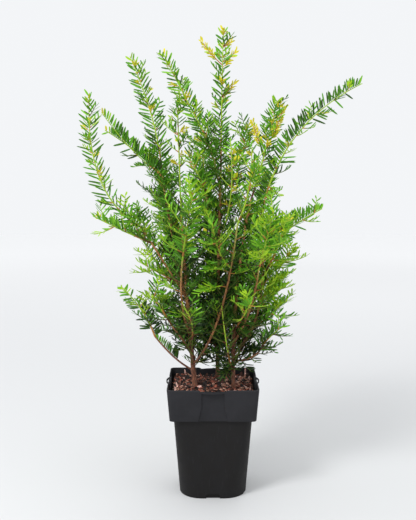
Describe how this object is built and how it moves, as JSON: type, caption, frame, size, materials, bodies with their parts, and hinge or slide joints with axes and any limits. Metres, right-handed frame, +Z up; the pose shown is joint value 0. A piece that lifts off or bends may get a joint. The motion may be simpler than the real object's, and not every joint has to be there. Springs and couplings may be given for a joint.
{
  "type": "potted english yew",
  "caption": "Young English yew with several upright stems and loose, vase-shaped needle foliage, in a square black nursery pot filled with bark chips.",
  "frame": {"origin": "centre of the pot's flat underside, where it stands", "axes": "+Z up through the pot, -Y towards the front as pictured, +X to the viewer's right"},
  "size_m": [0.4761, 0.3523, 0.802],
  "materials": {
    "black_plastic": "matt charcoal black moulded plastic, slightly dusty",
    "bark_chips": "loose reddish brown bark chips over dark potting mix",
    "bark": "thin reddish brown bark, rough, turning orange and lime green towards the tips",
    "needles": "flat evergreen needles, mid green, dark inside the crown and yellow at the growing tips"
  },
  "bodies": {
    "root": {"bough_back": "bark", "bough_back_left": "bark", "bough_back_right": "bark", "bough_far_left": "bark", "bough_front": "bark", "bough_front_left": "bark", "bough_front_right": "bark", "bough_inner": "bark", "bough_low_left": "bark", "bough_low_right": "bark", "bough_mid_left": "bark", "bough_top_left": "bark", "bough_upper_left": "bark", "bough_upper_right": "bark", "foliage_back": "needles", "foliage_back_left": "needles", "foliage_back_right": "needles", "foliage_back_skirt": "needles", "foliage_back_skirt_left": "needles", "foliage_back_skirt_right": "needles", "foliage_back_top": "needles", "foliage_back_upper_left": "needles", "foliage_crown_left": "needles", "foliage_far_left": "needles", "foliage_far_right": "needles", "foliage_front": "needles", "foliage_front_left": "needles", "foliage_front_low": "needles", "foliage_front_right": "needles", "foliage_front_skirt_left": "needles", "foliage_front_skirt_right": "needles", "foliage_front_tall": "needles", "foliage_heart": "needles", "foliage_heart_high": "needles", "foliage_heart_left": "needles", "foliage_heart_right": "needles", "foliage_inner_left": "needles", "foliage_inner_top": "needles", "foliage_left": "needles", "foliage_low_left": "needles", "foliage_low_right": "needles", "foliage_lower_right": "needles", "foliage_mid_left": "needles", "foliage_mid_right": "needles", "foliage_outer_left": "needles", "foliage_right": "needles", "foliage_side_back_left": "needles", "foliage_side_back_right": "needles", "foliage_side_right": "needles", "foliage_thin_top": "needles", "foliage_top": "needles", "foliage_top_left": "needles", "foliage_upper_left": "needles", "foliage_upper_right": "needles", "pot": "black_plastic", "potting_mix": "bark_chips", "stem_back": "bark", "stem_left": "bark", "stem_right": "bark"}
  },
  "joints": []
}
